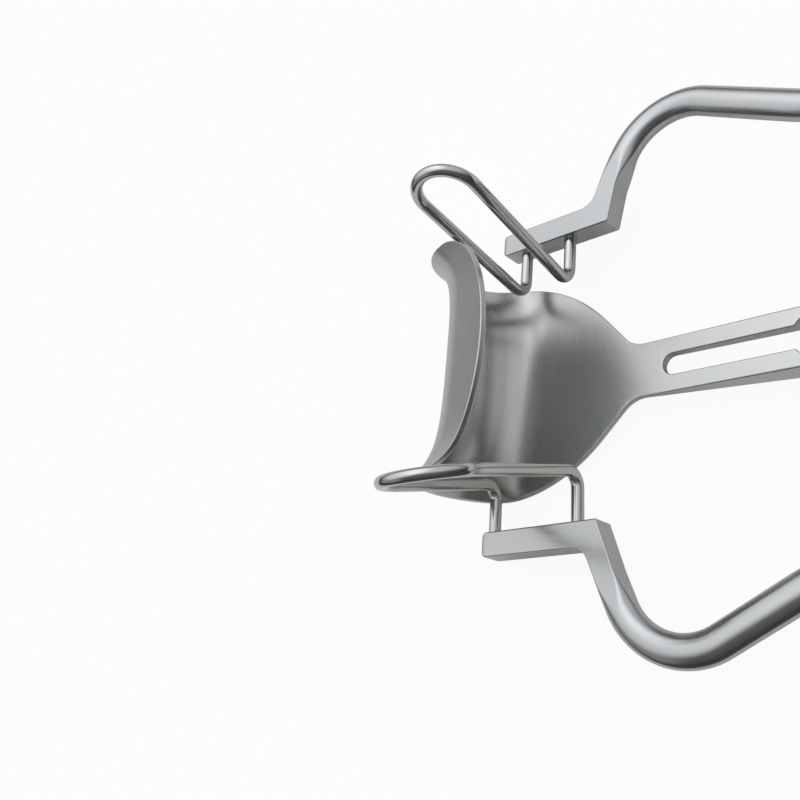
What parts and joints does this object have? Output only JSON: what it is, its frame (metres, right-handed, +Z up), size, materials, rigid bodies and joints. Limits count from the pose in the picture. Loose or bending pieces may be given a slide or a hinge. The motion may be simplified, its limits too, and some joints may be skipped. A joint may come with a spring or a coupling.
{
  "type": "self-retaining abdominal frame retractor",
  "caption": "Frame retractor with a fixed and a sliding arm on parallel rods, wire side blades and a clamped saddle-shaped centre blade.",
  "frame": {"origin": "bottom centre of the bounding box, on the surface that the retractor lies on", "axes": "+X along the rods towards the fixed arm, +Y forward to the blades, +Z up, with the blades pointing up"},
  "size_m": [0.288, 0.2048, 0.073],
  "materials": {
    "satin_steel": "satin",
    "wire_steel": "polished",
    "ground_steel": "ground",
    "turned_steel": "turned",
    "blade_steel": "brushed"
  },
  "bodies": {
    "frame": {"fixed_arm": "satin_steel", "fixed_wire_blade": "wire_steel", "front_rod": "ground_steel", "rear_rod": "ground_steel", "rod_pins": "ground_steel", "rod_end_bar": "satin_steel", "end_bar_screws": "turned_steel"},
    "sliding_arm": {"sliding_arm": "satin_steel", "sliding_wire_blade": "wire_steel"},
    "carriage": {"carriage": "satin_steel", "clamp_stud": "turned_steel", "stud_stop_ring": "turned_steel"},
    "center_blade": {"center_blade": "blade_steel"},
    "washer": {"pressure_washer": "turned_steel"},
    "wing_nut": {"wing_nut": "turned_steel"}
  },
  "joints": [
    {"name": "arm_slide", "type": "slide", "parent": "frame", "child": "sliding_arm", "axis": [-1, 0, 0], "range_m": [0, 0.11]},
    {"name": "carriage_slide", "type": "slide", "parent": "frame", "child": "carriage", "axis": [-1, 0, 0], "range_m": [0, 0.055]},
    {"name": "blade_slide", "type": "slide", "parent": "carriage", "child": "center_blade", "axis": [0, 0.993, -0.1178], "range_m": [0, 0.02]},
    {"name": "washer_lift", "type": "slide", "parent": "carriage", "child": "washer", "axis": [0, -0.1178, -0.993], "range_m": [0, 0.0015]},
    {"name": "nut_turn", "type": "hinge", "parent": "washer", "child": "wing_nut", "pos_m": [0.05077, -0.07122, 0.01032], "axis": [0, -0.1178, -0.993], "range_deg": [0, 540]}
  ],
  "couplings": [
    {"joint": "carriage_slide", "follows": "arm_slide", "ratio": 0.5},
    {"joint": "washer_lift", "follows": "nut_turn", "m_per_rad": 0.000159}
  ]
}
